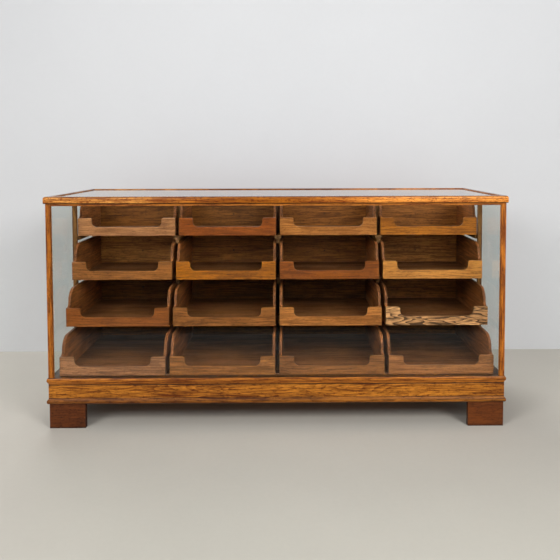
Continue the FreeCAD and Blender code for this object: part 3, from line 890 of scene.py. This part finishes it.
# Trays: a scooped front, two ogee sides, a bottom, and a face at the back that laps over the
# uprights. One tray of each row is made, and copied along the row.
tray = {
    "board": 0.011, "height": 0.149, "faceLap": 0.0065, "faceTopLap": 0.006, "faceThick": 0.0155,
    "earHeight": 0.077, "earWidth": 0.060, "barHeight": 0.0375, "scoopLow": 0.022,
    "scoopTop": 0.008, "ogeeFoot": 0.018, "bottomThick": 0.007, "bottomRise": 0.003,
    "edge": 0.0009, "bottomEdge": 0.0003, "faceEdge": 0.0015,
}
frontFinishes = {
    1: ("pinkTan", "redBrown", "orangeTan", "golden"),
    2: ("brown", "darkGold", "chestnut", "paleGold"),
    3: ("russet", "brown", "warmTan", "coarse"),
    4: ("greyTan", "paleBrown", "dullBrown", "dullTan"),
}
# Which copy of the back wood, shaded, half lit and lit, each tray's back takes: painted light and
# shade
backFinishes = {
    1: ("shadedBack", "shadedBack", "halfLitBack", "halfLitBack"),
    2: ("litBack", "halfLitBack", "halfLitBack", "litBack"),
    3: ("shadedBack", "shadedBack", "shadedBack", "halfLitBack"),
    4: ("halfLitBack", "shadedBack", "shadedBack", "halfLitBack"),
}
insideFinishes = {"left": "traySide", "right": "traySide", "bottom": "trayFloor"}


def trayFront(left, front, floor, width):
    ear, bar, top = tray["earWidth"], tray["barHeight"], tray["earHeight"]
    scoopLeft, scoopRight = left + ear, left + width - ear
    rounds = []
    for x in (scoopLeft, scoopRight):
        rounds.append(((x, front, floor + bar), tray["scoopLow"]))
        rounds.append(((x, front, floor + top), tray["scoopTop"]))
    plate = cutPlate(
        "tray_front", "Y", (left, front, floor), (left + width, front, floor + top),
        [("X", scoopLeft), ("X", scoopRight), ("Z", floor + bar)],
        lambda co: scoopLeft < co.x < scoopRight and co.z > floor + bar, rounds,
    )
    return thickBoard(plate, "Y", tray["board"], tray["edge"])


# The ogee is a hollow arc that rises from the front's ear, then a round brow
def traySide(left, front, floor, back):
    start = front + tray["board"]
    foot, step = tray["ogeeFoot"], floor + tray["earHeight"]
    top = floor + tray["height"]
    brow = top - step - foot
    rounds = [((left, start + foot, step), foot), ((left, start + foot, top), brow)]
    plate = cutPlate(
        "tray_side", "X", (left, start, floor), (left, back, top),
        [("Y", start + foot), ("Z", step)],
        lambda co: co.y < start + foot and co.z > step, rounds,
    )
    return thickBoard(plate, "X", tray["board"], tray["edge"])


def makeTrays():
    for row in (1, 2, 3, 4):
        low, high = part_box("tray_row%d_col1" % row)
        left = low.x + tray["faceLap"]
        width = high.x - tray["faceLap"] - left
        front = low.y
        back = high.y - tray["faceThick"]
        floor = high.z - tray["faceTopLap"] - tray["height"]
        inset = tray["board"]
        rise = floor + tray["bottomRise"]
        bottomLow = (left + inset, front + inset, rise)
        bottomHigh = (left + width - inset, back, rise + tray["bottomThick"])
        side = traySide(left, front, floor, back)
        parts = [
            (trayFront(left, front, floor, width), "front", "X"),
            (side, "left", "Y"),
            (board("tray_bottom", bottomLow, bottomHigh, tray["bottomEdge"]), "bottom", "X"),
            (board("tray_face", (low.x, back, low.z), high, tray["faceEdge"]), "face", "X"),
            (copyPiece(side, "tray_right", (width - inset, 0, 0)), "right", "Y"),
        ]
        for column in (1, 2, 3, 4):
            node = "tray_row%d_col%d" % (row, column)
            shift = (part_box(node)[0].x - low.x, 0, 0)
            for part, label, run in parts:
                twin = copyPiece(part, node + "_" + label, shift)
                byTray = {"front": frontFinishes, "face": backFinishes}.get(label)
                finish = byTray[row][column - 1] if byTray else insideFinishes[label]
                dress(twin, node, "tray_oak", makeOak(finish, run), node)
        for part, label, run in parts:
            bpy.data.objects.remove(part)


makeTrays()
print("trays modelled")

# CAD nodes that keep their shape
keptNodes = {
    "deck": ("dustyDeck", "X"), "under_rails": ("frame", "X"), "back_rails": ("inner", "X"),
    "front_uprights": ("upright", "Z"), "back_uprights": ("inner", "Z"),
    "column_runners": ("inner", "Y"), "side_runners": ("inner", "Y"),
}
paneFinishes = {
    "glass_front": "frontGlass", "glass_left": "sideGlass", "glass_right": "sideGlass",
    "glass_top": "topGlass",
}


def repaint(node, material):
    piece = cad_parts[node]
    for slot in piece.material_slots:
        slot.material = material


for node, (finish, run) in keptNodes.items():
    repaint(node, makeOak(finish, run))
for node, pane in paneFinishes.items():
    repaint(node, glasses[pane])
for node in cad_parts:
    if node.endswith("_knob"):
        repaint(node, brass)
print("kept pieces painted")


# Stage: a pale floor, and a pale wall behind that is clear when seen from its back. A card and
# a veil are met only by what the panes mirror. The black card keeps the front glass clear, and
# the veil, in the sky's own tone, hides the window lamps, which would show as white squares.
floorLook = {"size": 14.0, "pale": (0.66, 0.62, 0.55), "dull": (0.56, 0.53, 0.47)}
wallLook = {
    "y": 0.69, "width": 14.0, "low": 0.0, "high": 6.0,
    "pale": (0.84, 0.85, 0.87), "dull": (0.78, 0.79, 0.81),
}
cardLook = {
    "y": -1.62, "width": 9.0, "low": 0.0, "high": 0.95, "reach": 1.22, "lift": 0.003,
    "colour": (0.012, 0.011, 0.01), "floorColour": (0.41, 0.38, 0.345), "fold": 0.01, "fade": 0.05,
}
veilLook = {"y": -2.45, "width": 6.4, "low": 1.2, "high": 3.5}
plaster = {
    "cloud": {"stretch": (1.1, 1.1, 1.1), "detail": 5.0, "roughness": 0.6},
    "grit": {"stretch": (60.0, 60.0, 60.0), "detail": 3.0, "roughness": 0.7},
    "gritShare": 0.35, "gritMiddle": 0.17, "roughness": 0.85,
}
sky = {"pale": 0.85, "ambient": 0.2, "colour": (0.97, 0.985, 1.0, 1.0)}


def stageMaterial(name, look, oneSided):
    material, tree, output = newMaterial(name)
    place = addNode(tree, "TexCoord").outputs["Object"]
    cloud = noiseOf(tree, place, **plaster["cloud"])
    grit = noiseOf(tree, place, **plaster["grit"])
    cloud = sums(tree, "SUBTRACT", cloud, plaster["gritMiddle"])
    share = sums(tree, "MULTIPLY_ADD", grit, plaster["gritShare"], cloud, clamp=True)
    colour = blendColours(tree, share, (*look["dull"], 1.0), (*look["pale"], 1.0))
    finish = {"Base Color": colour, "Roughness": plaster["roughness"]}
    shader = addNode(tree, "BsdfPrincipled", finish).outputs[0]
    if oneSided:
        behind = addNode(tree, "NewGeometry").outputs["Backfacing"]
        clear = addNode(tree, "BsdfTransparent").outputs[0]
        shader = addNode(tree, "MixShader", {0: behind, 1: shader, 2: clear}).outputs[0]
    tree.links.new(shader, output.inputs["Surface"])
    return material


# There for what a pane mirrors on either face, and clear for what is seen through it
def showMirrored(sheet, material, tree, output, shader):
    clear = addNode(tree, "BsdfTransparent").outputs[0]
    mirrored = rangeOf(tree, addNode(tree, "LightPath").outputs["Glossy Depth"], 0.0, 1.0)
    mix = addNode(tree, "MixShader", {0: mirrored, 1: clear, 2: shader})
    tree.links.new(mix.outputs[0], output.inputs["Surface"])
    sheet.data.materials.append(material)
    sheet.visible_camera = sheet.visible_diffuse = sheet.visible_shadow = False


def uprightSheet(name, look):
    selectNothing()
    middle = (0, look["y"], (look["low"] + look["high"]) / 2)
    bpy.ops.mesh.primitive_plane_add(size=1, location=middle, rotation=plateTurns["Y"])
    sheet = bpy.context.object
    sheet.name = name
    sheet.scale = (look["width"], look["high"] - look["low"], 1)
    settle(sheet)
    return sheet


def makeFloor():
    selectNothing()
    bpy.ops.mesh.primitive_plane_add(size=floorLook["size"], location=(0, 0, 0))
    floor = bpy.context.object
    floor.name = "stage_floor"
    floor.data.materials.append(stageMaterial("paleFloor", floorLook, False))
    return floor


def makeWall():
    wall = uprightSheet("stage_wall", wallLook)
    wall.data.materials.append(stageMaterial("paleWall", wallLook, True))
    wall.visible_diffuse = wall.visible_shadow = False
    return wall


# One sheet upright and one along the floor, which is paler
def makeCard():
    card = uprightSheet("stage_card", cardLook)
    bpy.ops.object.mode_set(mode="EDIT")
    pick(card, "EDGE", lambda place: place.z < cardLook["fold"])
    bpy.ops.mesh.extrude_edges_move()
    bpy.ops.transform.translate(value=(0, cardLook["reach"], cardLook["lift"]))
    bpy.ops.object.mode_set(mode="OBJECT")
    material, tree, output = newMaterial("blackCard")
    place = addNode(tree, "TexCoord").outputs["Object"]
    height = addNode(tree, "SeparateXYZ", {0: place}).outputs["Z"]
    share = rangeOf(tree, height, 0.0, cardLook["fade"])
    floorColour, colour = (*cardLook["floorColour"], 1.0), (*cardLook["colour"], 1.0)
    colour = blendColours(tree, share, floorColour, colour)
    matt = addNode(tree, "BsdfDiffuse", {"Color": colour}).outputs[0]
    showMirrored(card, material, tree, output, matt)
    return card


def makeVeil():
    veil = uprightSheet("stage_veil", veilLook)
    material, tree, output = newMaterial("skyVeil")
    glow = addNode(tree, "Emission", {"Color": sky["colour"], "Strength": sky["pale"]}).outputs[0]
    material.cycles.emission_sampling = "NONE"
    showMirrored(veil, material, tree, output, glow)
    return veil


# Two windows before the counter, one to each side, and soft light from above and from behind
lamps = {
    "leftWindow": {
        "place": (-2.1, -3.2, 2.35), "aim": (0, 0, 0.5), "size": (1.3, 1.3), "power": 62.0,
    },
    "rightWindow": {
        "place": (2.1, -3.2, 2.35), "aim": (0, 0, 0.5), "size": (1.3, 1.3), "power": 79.0,
    },
    "overhead": {
        "place": (0.0, -1.6, 3.6), "aim": (0, -0.3, 0.0), "size": (2.4, 1.4), "power": 14.0,
    },
    "behind": {
        "place": (-1.4, 3.6, 3.4), "aim": (0, 0.2, 0.4), "size": (3.4, 1.8), "power": 110.0,
    },
}


def makeLights():
    for name, lamp in lamps.items():
        data = bpy.data.lights.new(name, "AREA")
        data.shape = "RECTANGLE"
        data.size, data.size_y = lamp["size"]
        data.energy = lamp["power"]
        light = bpy.data.objects.new(name, data)
        bpy.context.scene.collection.objects.link(light)
        light.location = lamp["place"]
        way = Vector(lamp["aim"]) - Vector(lamp["place"])
        light.rotation_euler = way.to_track_quat("-Z", "Y").to_euler()


# The sky is paler to what looks at it than to what it lights
def makeSky():
    world = bpy.data.worlds.new("studio")
    bpy.context.scene.world = world
    world.use_nodes = True
    tree = world.node_tree
    rays = addNode(tree, "LightPath").outputs
    seen = sums(tree, "MAXIMUM", rays["Is Camera Ray"], rays["Is Glossy Ray"])
    seen = sums(tree, "MAXIMUM", seen, rays["Is Transmission Ray"])
    strength = rangeOf(tree, seen, 0.0, 1.0, sky["ambient"], sky["pale"])
    background = tree.nodes["Background"]
    background.inputs["Color"].default_value = sky["colour"]
    tree.links.new(strength, background.inputs["Strength"])


floor, wall, card, veil = makeFloor(), makeWall(), makeCard(), makeVeil()
makeLights()
makeSky()
bpy.context.scene.view_settings.view_transform = "Standard"
print("stage and light ready")
